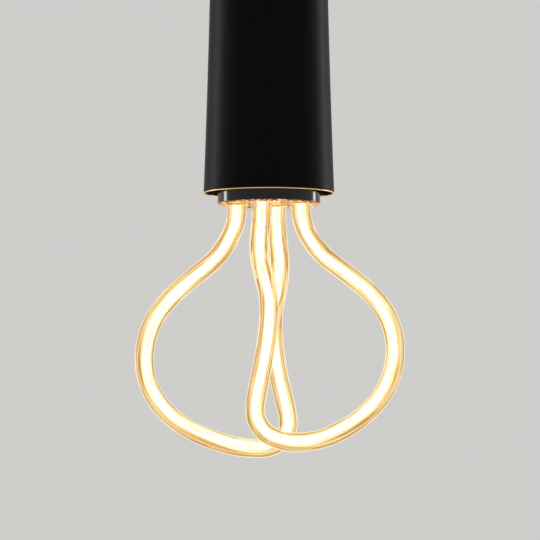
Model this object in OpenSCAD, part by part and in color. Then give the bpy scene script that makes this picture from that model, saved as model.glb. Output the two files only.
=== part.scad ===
// Globe-size bulb made of two hand-bent glowing loops, screwed into a black
// pendant holder. Millimetres, +Z up. The origin is the top end of the
// threaded stem that the whole light hangs from.

/* [Loops] */
// Outer diameter of the clear tube
tube_d = 10.6; // [9:0.1:12]
// Wall of the clear tube
tube_wall = 0.9; // [0.6:0.1:1.4]
// Diameter of the glowing filament rod inside the tube
filament_d = 4.8; // [3:0.1:6]
// Sideways reach of each loop from the bulb's axis
loop_reach = 71; // [60:0.5:80]
// Forward bulge of each loop from the bulb's axis
loop_bulge = 70; // [60:0.5:80]
// Drop of the loops below the end plate
loop_drop = 131.5; // [110:0.5:150]
// Distance of each tube foot from the bulb's axis
foot_r = 18.25; // [16.5:0.25:19]
// Turn of the first foot behind the sideways direction, in degrees
foot_turn = 13; // [5:1:20]
// Height of the tube ends above the end plate
foot_h = 9.4; // [8:0.1:10]

/* [End plate] */
// Thickness of the clear end plate's flange below the housing
plate_t = 0.6; // [0.4:0.1:3]
// Height of the plate's step inside the housing
plate_step = 2.6; // [0.8:0.1:4]
// Clearance round a tube in its plate hole
tube_gap = 0.15; // [0.1:0.05:0.3]
// Thickness of the reflector disc on the plate
reflector_t = 0.5; // [0.3:0.1:1]
// Height of a rubber grommet round a tube foot
grommet_h = 3; // [2:0.5:4]
// Wall of a grommet
grommet_wall = 1.6; // [1:0.1:2]
// Length of the plug in a tube end
plug_h = 4; // [3:0.5:5]

/* [Housing] */
// Outer diameter of the bulb's housing
housing_d = 56.7; // [55:0.1:60]
// Wall of the housing
housing_wall = 1.6; // [1.2:0.1:2]
// Height of the housing's straight wall
housing_h = 41.4; // [38:0.1:50]
// Height of the dome between housing and cap
dome_h = 15; // [12:1:20]
// Width of the dome's shoulder round the cap
shoulder_w = 2.4; // [1.5:0.1:4]
// Length of the dome's spigot inside the housing and inside the cap
spigot_h = 5; // [3:0.5:6]
// Clearance of parts that slip into one another
slip_gap = 0.1; // [0.05:0.01:0.2]

/* [Driver] */
// Diameter of the round circuit board
board_d = 50; // [44:0.5:52]
// Thickness of the circuit board
board_t = 1.6; // [1:0.2:2]
// Height of the board's underside above the housing's lower edge
board_lift = 23.4; // [21:0.1:26]
// Diameter of the board's screws
board_screw_d = 2.2; // [2:0.1:3]
// Length of the board's screws below their heads
board_screw_l = 7; // [5:0.5:9]
// Diameter of the bulk capacitor
bulk_d = 10; // [8:0.5:12]
// Height of the bulk capacitor
bulk_h = 16; // [10:1:20]
// Diameter of the inductor
coil_d = 9; // [6:0.5:10]
// Height of the inductor
coil_h = 10; // [8:0.5:12]
// Diameter of the wires
wire_d = 1.2; // [0.8:0.1:1.6]

/* [Screw cap] */
// Major diameter of the cap's screw thread
thread_d = 26.2; // [26:0.05:26.4]
// Pitch of the screw thread
thread_pitch = 3.63; // [3.6:0.01:3.66]
// Depth of the screw thread
thread_depth = 1.1; // [0.9:0.05:1.2]
// Least wall of the cap's shell
cap_wall = 0.5; // [0.3:0.05:0.8]
// Length of the cap's shell
cap_h = 22; // [20:0.5:24]
// Height of the black glass insulator
insulator_h = 4.5; // [3:0.5:6]
// Diameter of the centre contact
contact_d = 9; // [8:0.5:10]
// Height of the centre contact
contact_h = 1.5; // [1:0.1:2]

/* [Lamp holder] */
// Radial gap between the cap's thread and the holder's thread
thread_gap = 0.25; // [0.2:0.05:0.3]
// Wall of the holder's screw shell behind its thread
shell_wall = 0.9; // [0.7:0.1:1.2]
// Gap between the dome's shoulder and the holder's mouth
mouth_gap = 1.5; // [1:0.25:3]
// Outer diameter of the holder
holder_d = 40; // [39:0.5:44]
// Height of the holder's lower part
skirt_h = 37.5; // [35:0.5:40]
// Height of the holder's upper part, below its dome
hood_h = 16; // [15:0.5:20]
// Height of the holder's dome
hood_dome_h = 8; // [6:0.5:12]
// Diameter of the holder's neck above the dome
holder_neck_d = 17; // [15:0.5:20]
// Height of the holder's neck
holder_neck_h = 4; // [3:0.5:8]
// Height of the ceramic terminal block
block_h = 15; // [14:0.5:18]
// Distance between the cap's contact and the terminal block
block_gap = 2; // [1.9:0.1:3]
// Length of the two screws that hold the terminal block
block_screw_l = 20; // [18:0.5:21]

/* [Centre contact] */
// Diameter of the sprung plunger's shank
plunger_d = 5; // [4:0.1:5.5]
// Diameter of the plunger's head
plunger_head_d = 8.4; // [7.5:0.1:9]
// Running clearance of the plunger in the block
running_gap = 0.05; // [0.03:0.01:0.08]
// Gap between the plunger and the cap's contact
touch_gap = 0.1; // [0.05:0.05:0.3]
// Travel of the plunger
plunger_travel = 3.8; // [3.7:0.1:4.2]
// Wire diameter of the plunger's spring
spring_wire = 0.8; // [0.6:0.1:1]
// Length of the spring at rest
spring_h = 5; // [4.5:0.1:6]

/* [Stem and sleeve] */
// Diameter of the threaded stem
stem_d = 10; // [9.5:0.1:10.5]
// Diameter of the stem's bore
stem_bore = 7; // [6:0.1:7.5]
// Length of the stem inside the holder's top
stem_seat = 9; // [7:0.5:10]
// Free length of the stem above its relief groove
stem_free = 8; // [6:0.5:15]
// Width of the stem's relief groove
relief_h = 1; // [0.6:0.1:1.5]
// Depth of the stem's relief groove
relief_depth = 0.5; // [0.3:0.1:0.8]
// Diameter of the grub screw that locks the stem
grub_d = 2.4; // [2:0.2:3]
// Outer diameter of the sleeve at its open rim
sleeve_rim_d = 72.1; // [70:0.1:76]
// Outer diameter of the sleeve at its top
sleeve_top_d = 64.9; // [62:0.1:68]
// Length of the sleeve
sleeve_h = 120; // [110:1:120]
// Wall of the sleeve
sleeve_wall = 1; // [0.8:0.1:1.5]
// Outer radius of the sleeve's upper edge
sleeve_round = 5; // [3:0.5:8]
// Inward sag of the sleeve's flare at half its length
flare_sag = 0.25; // [0:0.05:0.5]
// Thickness of the rubber washer under the sleeve
washer_t = 1; // [0.5:0.1:2]
// Width across the flats of the nut on the sleeve
nut_w = 17; // [15:0.5:19]
// Height of the nut
nut_h = 5; // [3:0.5:7]

/* [Hidden] */
$fn = 96;

// A cut runs past the solid by this much
over = 1;

// Radii of the bulb's pieces
tube_r = tube_d / 2;
tube_bore_r = tube_r - tube_wall;
housing_r = housing_d / 2;
housing_in_r = housing_r - housing_wall;
step_r = housing_in_r - slip_gap;
thread_r = thread_d / 2;
root_r = thread_r - thread_depth;
cap_bore_r = root_r - cap_wall;
spigot_r = cap_bore_r - slip_gap;
wire_r = wire_d / 2;

// Radii of the holder's pieces, from the thread outwards
shell_thread_r = thread_r + thread_gap;
shell_r = shell_thread_r + shell_wall;
skirt_bore_r = shell_r + 2 * slip_gap;
block_ledge = 2;
block_r = skirt_bore_r + block_ledge;
block_bore_r = block_r + slip_gap;
holder_r = holder_d / 2;
lip_r = (block_bore_r + holder_r) / 2;
holder_neck_r = holder_neck_d / 2;
stem_r = stem_d / 2;
grub_r = grub_d / 2;

// Heights, from the bottom up. The stack starts at the end plate's lower face.
rise = plate_t + housing_h + dome_h + mouth_gap + skirt_h + hood_h + hood_dome_h + holder_neck_h
    + washer_t + sleeve_wall + nut_h + relief_h + stem_free;
plate_z = -rise;
housing_z = plate_z + plate_t;
step_z = housing_z + plate_step;
foot_top = housing_z + foot_h;
plug_z = foot_top - plug_h;
board_z = housing_z + board_lift;
board_top = board_z + board_t;
dome_z = housing_z + housing_h;
cap_z = dome_z + dome_h;
insulator_z = cap_z + cap_h;
contact_z = insulator_z + insulator_h;
touch_z = contact_z + contact_h;
skirt_z = cap_z + mouth_gap;
block_z = touch_z + block_gap;
block_top = block_z + block_h;
hood_z = skirt_z + skirt_h;
hood_dome_z = hood_z + hood_h;
holder_neck_z = hood_dome_z + hood_dome_h;
washer_z = holder_neck_z + holder_neck_h;
stem_foot_z = washer_z - stem_seat;
grub_z = washer_z - holder_neck_h / 2;
nut_z = washer_z + washer_t + sleeve_wall;
rim_z = nut_z - sleeve_h;
relief_z = nut_z + nut_h;

// Holder's details
mouth_round = 1.5;
mouth_chamfer = 1;
lip_h = 4;
groove_count = 12;
groove_r = 3;
groove_depth = 0.6;
groove_margin = 6;
shell_inset = 1;
shell_roof_t = 1;
thread_run = 1;
boss_wall = 1.4;
washer_inset = 0.5;

// Strips, terminals and fasteners of the terminal block
strip_t = 0.8;
strip_top = block_top + strip_t;
strip_margin = 1.5;
terminal_x = 10;
terminal_l = 7;
terminal_w = 8;
terminal_h = 7;
terminal_screw_r = 1.7;
terminal_head_r = 2.6;
terminal_head_h = 1.2;
cable_hole_r = 1.6;
rivet_r = 1;
rivet_head_r = 1.8;
rivet_head_h = 0.6;
rivet_x = 7.5;
rivet_y = 6.2;
block_screw_y = 11;
block_screw_r = 1.5;
block_head_r = 2.6;
block_head_h = 1.8;
slot_w = 0.6;

// Sprung plunger
plunger_r = plunger_d / 2;
plunger_bore_r = plunger_r + running_gap;
plunger_head_r = plunger_head_d / 2;
plunger_head_h = 2;
plunger_z = touch_z + touch_gap;
spring_z = plunger_z + plunger_head_h;
spring_turns = 3;
spring_steps = 8;
spring_sides = 6;
spring_gap = 0.3;
pocket_top = spring_z + spring_h;
pocket_gap = 1.3;
pocket_r = plunger_head_r + pocket_gap;
mouth_hole_gap = 1.8;
shell_mouth_r = plunger_head_r + mouth_hole_gap;
clip_t = 0.8;
clip_w = 1.5;
clip_r = plunger_r + clip_w;
clip_z = strip_top + plunger_travel + 3 * touch_gap;
plunger_tip = 0.3;
plunger_top = clip_z + clip_t + plunger_tip;

// Screw cap
insulator_seat = 2;
insulator_edge = 0.2;
insulator_rim = 0.6;
contact_taper = 1;

// Bosses and screws of the board
boss_count = 3;
boss_turn = 30;
boss_r = 3;
boss_h = 10;
boss_inset = 3.9;
boss_at_r = housing_in_r - boss_inset;
board_hole_gap = 0.2;
screw_head_r = board_screw_d;
screw_head_h = 1.6;

// Parts on the board: where each stands, and the small ones' length, width
// and height
bulk_at = [-12, 0];
bulk_bead_z = 2;
bulk_bead = 0.4;
bulk_round = 0.5;
coil_at = [4, 14];
coil_flange = 1.2;
coil_waist = 0.8;
bridge_at = [9, 0];
bridge_size = [6, 5, 2.6];
film_at = [-6, -17];
film_size = [12, 5, 9];
chip_at = [4, -7];
chip_size = [4, 5, 1.6];
chip_legs = 4;
chip_leg = [1, 0.4, 0.2];
chip_leg_step = 1.2;
fuse_at = [15.5, -9];
fuse_r = 1.6;
fuse_l = 9;
fuse_lift = 0.4;
lead_r = 0.3;
lead_l = 0.7;
neutral_x = 7;
neutral_lift = 2;

// The route of each loop: the control points of an even cubic spline, each
// as shares of the loop's reach, bulge and drop. Loop a stands on the right
// and bulges forward, loop b stands on the left and bulges backward.
route_a = [[0.395, -0.07, 0.215], [0.59, -0.13, 0.285], [0.96, -0.2, 0.455],
    [1, -0.3, 0.695], [0.805, -0.41, 0.885], [0.4, -0.54, 1.015],
    [0.045, -0.74, 1.02], [-0.145, -0.94, 0.925], [-0.055, -1.04, 0.755],
    [0.03, -0.915, 0.45], [-0.05, -0.615, 0.315], [-0.085, -0.38, 0.2]];
route_b = [[-0.395, 0.07, 0.225], [-0.555, 0.13, 0.285], [-0.93, 0.2, 0.45],
    [-1.015, 0.3, 0.7], [-0.805, 0.41, 0.89], [-0.395, 0.54, 0.995],
    [0.035, 0.74, 1.025], [0.2, 0.94, 0.915], [0.075, 1.04, 0.725],
    [0.01, 0.915, 0.435], [0.09, 0.615, 0.315], [0.085, 0.38, 0.19]];
foot_step = 12;
route_steps = 4;
tube_sides = 14;
filament_sides = 8;
feet = [for (turn = [-foot_turn, -foot_turn - 90, 180 - foot_turn, 90 - foot_turn])
    foot_r * [cos(turn), sin(turn)]];

// Screw thread mesh
thread_sides = 28;
thread_rings = 6;
thread_fade = 0.4 * thread_pitch;

// Steps along the sleeve's flare
flare_steps = 8;

// Route of a loop
function on_plate(p) = [p[0] * loop_reach, p[1] * loop_bulge, plate_z - p[2] * loop_drop];
// Three points in line through a foot, so that the tube runs straight there
function foot_points(foot, way) =
    [for (i = [-1:1]) [foot[0], foot[1], plate_z - way * i * foot_step]];
function controls(route, first, last) =
    concat(foot_points(first, 1), [for (p = route) on_plate(p)], foot_points(last, -1));
function spline_point(c, i, t) =
    (pow(1 - t, 3) * c[i] + (3 * t * t * t - 6 * t * t + 4) * c[i + 1]
        + (3 * t + 3 * t * t - 3 * t * t * t + 1) * c[i + 2] + t * t * t * c[i + 3]) / 6;
function spline(c) =
    [for (i = [0:len(c) - 4], k = [0:route_steps - 1]) spline_point(c, i, k / route_steps)];
function loop_path(route, first, last, top) =
    concat([[first[0], first[1], top]], spline(controls(route, first, last)),
        [[last[0], last[1], plate_z], [last[0], last[1], top]]);

// Directions square to a path, carried along it without twist
function unit(v) = v / norm(v);
function heading(p, i) = unit(p[min(i + 1, len(p) - 1)] - p[max(i - 1, 0)]);
function square_to(n, t) = unit(n - (n * t) * t);
function sides_of(p) =
    [for (i = 0, n = square_to([1, 0.3, 0], heading(p, 0)); i < len(p);
        i = i + 1, n = i < len(p) ? square_to(n, heading(p, i)) : n) n];
function ring_points(p, r, sides) =
    let (n = sides_of(p))
    [for (i = [0:len(p) - 1], k = [0:sides - 1])
        let (t = heading(p, i), a = 360 * k / sides)
        p[i] + r * (cos(a) * n[i] + sin(a) * cross(t, n[i]))];

// Triangles between rings of points, from ring number base upwards; flip
// turns them round
function wall_faces(rings, sides, base, flip) =
    [for (i = [0:rings - 2], k = [0:sides - 1], half = [0, 1])
        let (q = base + i * sides + k,
            w = base + i * sides + (k + 1) % sides,
            tri = half == 0 ? [q, q + sides, w + sides] : [q, w + sides, w])
        flip ? [tri[2], tri[1], tri[0]] : tri];
function end_face(sides, base, flip) =
    flip ? [for (k = [sides - 1:-1:0]) base + k] : [for (k = [0:sides - 1]) base + k];
function ring_face(sides, outer, inner, flip) =
    [for (k = [0:sides - 1], half = [0, 1])
        let (j = (k + 1) % sides,
            tri = half == 0 ? [outer + k, outer + j, inner + j] : [outer + k, inner + j, inner + k])
        flip ? [tri[2], tri[1], tri[0]] : tri];

// Height of the thread's ridge, from 0 to 1, where it meets angle a
function ridge(a, z) = (1 + cos(360 * z / thread_pitch - a)) / 2;
function fade(z, low, high) = max(0, min(1, (z - low) / thread_fade, (high - z) / thread_fade));

// Outside of the sleeve, at share t of its length, and a rounded edge
function flare_r(t) =
    sleeve_rim_d / 2 + (sleeve_top_d - sleeve_rim_d) / 2 * t - flare_sag * 4 * t * (1 - t);
function flare(inset, top) =
    [for (i = [0:flare_steps])
        let (z = rim_z + (top - rim_z) * i / flare_steps)
        [flare_r((z - rim_z) / sleeve_h) - inset, z]];
function round_corner(r, z, size) =
    [for (a = [0:15:90]) [r - size + size * cos(a), z - size + size * sin(a)]];

module rod(path, r, sides) {
    polyhedron(ring_points(path, r, sides),
        concat(wall_faces(len(path), sides, 0, false),
            [end_face(sides, 0, false), end_face(sides, (len(path) - 1) * sides, true)]));
}

module pipe(path, r, bore, sides) {
    count = len(path) * sides;
    last = count - sides;
    polyhedron(concat(ring_points(path, r, sides), ring_points(path, bore, sides)),
        concat(wall_faces(len(path), sides, 0, false), wall_faces(len(path), sides, count, true),
            ring_face(sides, 0, count, false), ring_face(sides, last, count + last, true)));
}

// A round bar with a right-hand screw thread. An inner one fades out to its
// root at both ends, and an outer one, used as a cutter, to its full depth.
module thread_bar(low, high, root, fade_to) {
    rings = ceil((high - low) / thread_pitch * thread_rings);
    heights = [for (i = [0:rings]) low + (high - low) * i / rings];
    polyhedron([for (z = heights, k = [0:thread_sides - 1])
            let (a = 360 * k / thread_sides,
                r = root + thread_depth * (fade_to + (ridge(a, z) - fade_to) * fade(z, low, high)))
            [r * cos(a), r * sin(a), z]],
        concat(wall_faces(len(heights), thread_sides, 0, false),
            [end_face(thread_sides, 0, false), end_face(thread_sides, rings * thread_sides, true)]));
}

module ring(z, h, r, bore) {
    translate([0, 0, z]) difference() {
        cylinder(h = h, r = r);
        translate([0, 0, -over]) cylinder(h = h + 2 * over, r = bore);
    }
}

module post(x, y, z, h, r) {
    translate([x, y, z]) cylinder(h = h, r = r);
}

module bar_x(x, y, z, l, r) {
    translate([x, y, z]) rotate([0, 90, 0]) cylinder(h = l, r = r);
}

module box(x0, x1, y0, y1, z, h) {
    translate([x0, y0, z]) cube([x1 - x0, y1 - y0, h]);
}

module at_feet() {
    for (foot = feet) translate([foot[0], foot[1], 0]) children();
}

module at_bosses() {
    for (k = [0:boss_count - 1]) rotate(360 / boss_count * k + boss_turn)
        translate([boss_at_r, 0, 0]) children();
}

// Holder and stem

module stem() color("silver") difference() {
    post(0, 0, stem_foot_z, -stem_foot_z, stem_r);
    post(0, 0, stem_foot_z - over, 2 * over - stem_foot_z, stem_bore / 2);
    ring(relief_z, relief_h, stem_r + over, stem_r - relief_depth);
}

module grub_screw() color("dimgray") {
    length = holder_neck_r - stem_r;
    socket = 1;
    translate([stem_r, 0, grub_z]) rotate([0, 90, 0]) difference() {
        cylinder(h = length, r = grub_r);
        translate([0, 0, length - socket]) cylinder(h = socket + over, r = grub_r / 2, $fn = 6);
    }
}

module boss_pair(z, h, r) {
    for (side = [-1, 1]) post(0, side * block_screw_y, z, h, r);
}

module holder_outside() {
    rotate_extrude() polygon(concat([[0, hood_z], [holder_r, hood_z]],
        [for (a = [0:15:90]) [holder_neck_r + (holder_r - holder_neck_r) * cos(a),
            hood_dome_z + hood_dome_h * sin(a)]],
        [[holder_neck_r, washer_z], [0, washer_z]]));
}

module holder_inside() {
    seat_r = lip_r + slip_gap;
    seat_top = hood_z + lip_h + slip_gap;
    rotate_extrude() polygon([[0, hood_z - over], [seat_r, hood_z - over], [seat_r, seat_top],
        [block_bore_r, seat_top], [block_bore_r, hood_dome_z], [stem_r, stem_foot_z], [0, stem_foot_z]]);
}

module holder_cap() color("black") difference() {
    union() {
        difference() {
            holder_outside();
            holder_inside();
        }
        boss_pair(block_top, stem_foot_z - block_top, block_screw_r + boss_wall);
    }
    post(0, 0, stem_foot_z - over, stem_seat + 2 * over, stem_r + slip_gap / 2);
    boss_pair(block_top - over, block_screw_l - block_h + 2 * over, block_screw_r + slip_gap / 2);
    bar_x(stem_r, 0, grub_z, holder_neck_r, grub_r + slip_gap / 2);
}

module holder_skirt() color("black") difference() {
    rotate_extrude() polygon(concat(
        [for (a = [-90:30:0]) [holder_r - mouth_round + mouth_round * cos(a),
            skirt_z + mouth_round + mouth_round * sin(a)]],
        [[holder_r, hood_z], [lip_r, hood_z], [lip_r, hood_z + lip_h], [block_bore_r, hood_z + lip_h],
            [block_bore_r, block_z], [skirt_bore_r, block_z], [skirt_bore_r, skirt_z + mouth_chamfer],
            [skirt_bore_r + mouth_chamfer, skirt_z]]));
    // Finger grooves
    for (k = [0:groove_count - 1]) rotate(360 / groove_count * k)
        post(holder_r + groove_r - groove_depth, 0, skirt_z + groove_margin,
            skirt_h - 2 * groove_margin, groove_r);
}

module sleeve_washer() color("dimgray") {
    ring(washer_z, washer_t, holder_neck_r - washer_inset, stem_r + 3 * slip_gap);
}

module terminal_block() color("ivory") difference() {
    post(0, 0, block_z, block_h, block_r);
    post(0, 0, block_z - over, block_h + 2 * over, plunger_bore_r);
    post(0, 0, block_z - over, pocket_top - block_z + over, pocket_r);
    boss_pair(block_z - over, block_h + 2 * over, block_screw_r + slip_gap / 2);
    boss_pair(block_z - over, block_head_h + slip_gap + over, block_head_r + slip_gap);
    for (side = [-1, 1])
        post(side * rivet_x, side * rivet_y, block_z - over, block_h + 2 * over, rivet_r + slip_gap / 2);
}

module screw_shell() color("goldenrod") {
    low = skirt_z + shell_inset;
    thread_top = insulator_z + thread_run;
    smooth_z = thread_top - thread_fade / 2;
    roof_z = block_z - shell_roof_t;
    difference() {
        post(0, 0, low, block_z - low, shell_r);
        thread_bar(low - thread_fade, thread_top, root_r + thread_gap, 1);
        post(0, 0, smooth_z, roof_z - smooth_z, shell_thread_r + slip_gap);
        post(0, 0, roof_z - over, shell_roof_t + 2 * over, shell_mouth_r);
        for (side = [-1, 1])
            post(side * rivet_x, side * rivet_y, roof_z - over, shell_roof_t + 2 * over,
                rivet_r + slip_gap / 2);
    }
}

module shell_rivets() color("silver") {
    foot = block_z - shell_roof_t - rivet_head_h;
    for (side = [-1, 1]) {
        head_z = side > 0 ? strip_top : block_top;
        post(side * rivet_x, side * rivet_y, foot, rivet_head_h, rivet_head_r);
        post(side * rivet_x, side * rivet_y, foot, head_z - foot + rivet_head_h, rivet_r);
        post(side * rivet_x, side * rivet_y, head_z, rivet_head_h, rivet_head_r);
    }
}

module block_screws() color("silver") {
    boss_pair(block_z + slip_gap, block_head_h, block_head_r);
    boss_pair(block_z + slip_gap, block_screw_l, block_screw_r);
}

module line_strip() color("goldenrod") difference() {
    box(-terminal_x - terminal_l / 2, plunger_r + strip_margin, -terminal_w / 2, terminal_w / 2,
        block_top, strip_t);
    post(0, 0, block_top - over, strip_t + 2 * over, plunger_bore_r);
}

module neutral_strip() color("goldenrod") difference() {
    box(rivet_x - rivet_head_r, terminal_x + terminal_l / 2, -terminal_w / 2,
        rivet_y + rivet_head_r, block_top, strip_t);
    post(rivet_x, rivet_y, block_top - over, strip_t + 2 * over, rivet_r + slip_gap / 2);
}

module terminal(x) {
    hole_z = strip_top + terminal_h / 3;
    difference() {
        box(x - terminal_l / 2, x + terminal_l / 2, -terminal_w / 2, terminal_w / 2,
            strip_top, terminal_h);
        translate([x, -terminal_w / 2 - over, hole_z]) rotate([-90, 0, 0])
            cylinder(h = terminal_w + 2 * over, r = cable_hole_r);
        post(x, 0, hole_z, terminal_h, terminal_screw_r);
    }
}

module line_terminal() color("goldenrod") terminal(-terminal_x);

module neutral_terminal() color("goldenrod") terminal(terminal_x);

module terminal_screws() color("silver") {
    head_z = strip_top + terminal_h;
    shank_z = strip_top + terminal_h / 2;
    for (side = [-1, 1]) translate([side * terminal_x, 0, 0]) difference() {
        union() {
            post(0, 0, shank_z, head_z - shank_z + terminal_head_h / 2, terminal_screw_r - slip_gap / 2);
            post(0, 0, head_z, terminal_head_h, terminal_head_r);
        }
        box(-slot_w / 2, slot_w / 2, -terminal_w, terminal_w, head_z + terminal_head_h / 2, over);
    }
}

function coil_point(t) =
    let (r = plunger_r + spring_wire + spring_gap, a = 360 * spring_turns * t)
    [r * cos(a), r * sin(a), spring_z + spring_wire / 2 + (spring_h - spring_wire) * t];

module contact_spring() color("silver") {
    steps = spring_steps * spring_turns;
    rod([for (i = [0:steps]) coil_point(i / steps)], spring_wire / 2, spring_sides);
}

module contact_plunger() color("gold") {
    post(0, 0, plunger_z, plunger_head_h, plunger_head_r);
    post(0, 0, plunger_z, plunger_top - plunger_z, plunger_r);
}

module plunger_clip() color("silver") ring(clip_z, clip_t, clip_r, plunger_r);

// Sleeve

module sleeve() color("black") {
    bend_z = nut_z - sleeve_round;
    top_r = flare_r(1 - sleeve_round / sleeve_h);
    bore = stem_r + 2 * slip_gap;
    outside = concat(flare(0, bend_z), round_corner(top_r, nut_z, sleeve_round));
    inside = concat(flare(sleeve_wall, bend_z),
        round_corner(top_r - sleeve_wall, nut_z - sleeve_wall, sleeve_round - sleeve_wall));
    rotate_extrude() polygon(concat(outside, [[bore, nut_z], [bore, nut_z - sleeve_wall]],
        [for (i = [len(inside) - 1:-1:0]) inside[i]]));
}

module ring_nut() color("dimgray") translate([0, 0, nut_z]) difference() {
    cylinder(h = nut_h, r = nut_w / 2 / cos(30), $fn = 6);
    translate([0, 0, -over]) cylinder(h = nut_h + 2 * over, r = stem_r + slip_gap / 2);
}

// Bulb

module cap_shell() color("silver") difference() {
    thread_bar(cap_z, insulator_z, root_r, 0);
    post(0, 0, cap_z - over, cap_h + 2 * over, cap_bore_r);
}

module cap_insulator() color("#222222") difference() {
    union() {
        translate([0, 0, insulator_z])
            cylinder(h = insulator_h, r1 = root_r - insulator_edge, r2 = contact_d / 2 + insulator_rim);
        post(0, 0, insulator_z - insulator_seat, insulator_seat, spigot_r);
    }
    post(0, 0, insulator_z - insulator_seat - over, insulator_h + insulator_seat + 2 * over,
        wire_r + slip_gap);
}

module cap_contact() color("silver") {
    r = contact_d / 2;
    translate([0, 0, contact_z]) cylinder(h = contact_h, r1 = r, r2 = r - contact_taper);
}

module neck() color("#111111") {
    wall = housing_wall + slip_gap;
    top_r = spigot_r + shoulder_w;
    rim_in_r = step_r - housing_wall;
    top_in_r = top_r - wall;
    spigot_in_r = spigot_r - wall;
    outside = [for (a = [0:9:90]) [top_r + (housing_r - top_r) * cos(a), dome_z + dome_h * sin(a)]];
    inside = [for (a = [90:-9:0]) [top_in_r + (rim_in_r - top_in_r) * cos(a),
        dome_z + (dome_h - wall) * sin(a)]];
    rotate_extrude() polygon(concat([[step_r, dome_z - spigot_h], [step_r, dome_z]], outside,
        [[spigot_r, cap_z], [spigot_r, cap_z + spigot_h], [spigot_in_r, cap_z + spigot_h],
            [spigot_in_r, cap_z - wall]], inside, [[rim_in_r, dome_z - spigot_h]]));
}

module housing() color("#111111") difference() {
    union() {
        ring(housing_z, housing_h, housing_r, housing_in_r);
        intersection() {
            at_bosses() union() {
                post(0, 0, board_z - boss_h, boss_h, boss_r);
                box(0, boss_r + housing_wall, -boss_r / 2, boss_r / 2, board_z - boss_h, boss_h);
            }
            post(0, 0, housing_z, housing_h, housing_r - housing_wall / 2);
        }
    }
    at_bosses() post(0, 0, board_top - board_screw_l - slip_gap, board_screw_l + over,
        board_screw_d / 2 + slip_gap / 2);
}

module end_plate() color("gold", 0.5) difference() {
    union() {
        post(0, 0, plate_z, plate_t, housing_r);
        post(0, 0, plate_z, plate_t + plate_step, step_r);
    }
    at_feet() post(0, 0, plate_z - over, plate_t + plate_step + 2 * over, tube_r + tube_gap);
}

module reflector() color("goldenrod") difference() {
    post(0, 0, step_z, reflector_t, step_r);
    at_feet() post(0, 0, step_z - over, reflector_t + 2 * over, tube_r + tube_gap);
}

module tube_a() color("khaki", 0.4) {
    pipe(loop_path(route_a, feet[0], feet[1], foot_top), tube_r, tube_bore_r, tube_sides);
}

module tube_b() color("khaki", 0.4) {
    pipe(loop_path(route_b, feet[2], feet[3], foot_top), tube_r, tube_bore_r, tube_sides);
}

module filament_a() color("#fff2c0") {
    rod(loop_path(route_a, feet[0], feet[1], plug_z), filament_d / 2, filament_sides);
}

module filament_b() color("#fff2c0") {
    rod(loop_path(route_b, feet[2], feet[3], plug_z), filament_d / 2, filament_sides);
}

module tube_grommets() color("whitesmoke") {
    outer_r = tube_r + tube_gap + grommet_wall;
    at_feet() ring(step_z + reflector_t, grommet_h, outer_r, tube_r + slip_gap / 2);
}

module tube_plugs() color("whitesmoke") {
    plug_r = tube_bore_r * cos(180 / tube_sides);
    at_feet() ring(plug_z, plug_h, plug_r, wire_r + slip_gap / 2);
}

module driver_board() color("seagreen") difference() {
    post(0, 0, board_z, board_t, board_d / 2);
    at_bosses() post(0, 0, board_z - over, board_t + 2 * over, board_screw_d / 2 + board_hole_gap);
}

module board_screws() color("silver") {
    at_bosses() difference() {
        union() {
            post(0, 0, board_top, screw_head_h, screw_head_r);
            post(0, 0, board_top - board_screw_l, board_screw_l, board_screw_d / 2);
        }
        box(-screw_head_r, screw_head_r, -slot_w / 2, slot_w / 2, board_top + screw_head_h / 2, over);
    }
}

module bulk_capacitor() color("#20242c") {
    r = bulk_d / 2;
    translate([bulk_at[0], bulk_at[1], board_top]) rotate_extrude() polygon([[0, 0], [r, 0],
        [r, bulk_bead_z - bulk_bead], [r - bulk_bead, bulk_bead_z], [r, bulk_bead_z + bulk_bead],
        [r, bulk_h - bulk_round], [r - bulk_round, bulk_h], [0, bulk_h]]);
}

module inductor() color("saddlebrown") {
    r = coil_d / 2;
    waist = r - coil_waist;
    translate([coil_at[0], coil_at[1], board_top]) rotate_extrude() polygon([[0, 0], [r, 0],
        [r, coil_flange], [waist, coil_flange], [waist, coil_h - coil_flange],
        [r, coil_h - coil_flange], [r, coil_h], [0, coil_h]]);
}

module on_board(at, size) {
    translate([at[0], at[1], board_top]) cube(size);
}

module bridge_rectifier() color("#1a1a1a") on_board(bridge_at, bridge_size);

module film_capacitor() color("gold") on_board(film_at, film_size);

module driver_ic() color("#1a1a1a") {
    on_board(chip_at, chip_size);
    for (k = [0:chip_legs - 1])
        on_board(chip_at + [-chip_leg[0], chip_leg[1] + chip_leg_step * k],
            [chip_size[0] + 2 * chip_leg[0], chip_leg[1], chip_leg[2]]);
}

module fuse_resistor() color("steelblue") {
    axis_z = board_top + fuse_lift + fuse_r;
    lead_x = fuse_l / 2 + lead_l;
    bar_x(fuse_at[0] - fuse_l / 2, fuse_at[1], axis_z, fuse_l, fuse_r);
    bar_x(fuse_at[0] - lead_x - lead_r, fuse_at[1], axis_z, 2 * (lead_x + lead_r), lead_r);
    for (side = [-1, 1])
        post(fuse_at[0] + side * lead_x, fuse_at[1], board_top, fuse_lift + fuse_r + lead_r, lead_r);
}

module lamp_wires() color("red") at_feet() post(0, 0, plug_z, board_z - plug_z, wire_r);

module line_wire() color("brown") post(0, 0, board_top, contact_z - board_top, wire_r);

module neutral_wire() color("blue") {
    bend_z = cap_z + spigot_h + neutral_lift;
    post(neutral_x, 0, board_top, bend_z - board_top, wire_r);
    translate([neutral_x, 0, bend_z]) sphere(r = wire_r);
    bar_x(neutral_x, 0, bend_z, cap_bore_r - neutral_x - slip_gap, wire_r);
}

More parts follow.
